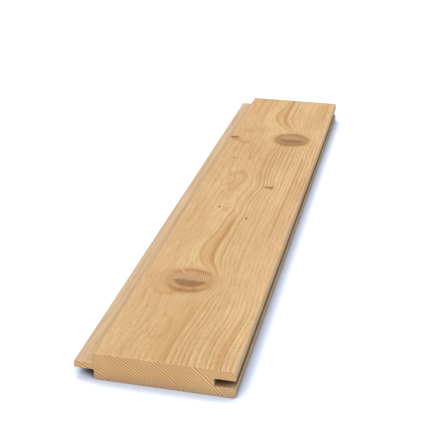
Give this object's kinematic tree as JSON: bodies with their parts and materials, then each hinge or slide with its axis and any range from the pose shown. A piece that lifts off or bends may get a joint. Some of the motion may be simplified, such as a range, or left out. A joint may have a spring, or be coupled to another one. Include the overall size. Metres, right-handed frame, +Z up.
{
  "type": "tongue and groove board",
  "caption": "Planed softwood board with a tongue along one long edge, a matching groove along the other, eased arrises and square-cut ends; locks edge to edge with its neighbours.",
  "frame": {"origin": "middle of the underside of the whole board, tongue included", "axes": "+X from the tongue edge to the groove edge, +Y along the grain, +Z up from the back to the face"},
  "size_m": [0.096, 0.5, 0.0175],
  "materials": {
    "planed_softwood": "planed and unsealed, pale yellow-tan with orange-brown growth lines and brown knots"
  },
  "bodies": {
    "root": {"tongue_and_groove_board": "planed_softwood"}
  },
  "joints": []
}
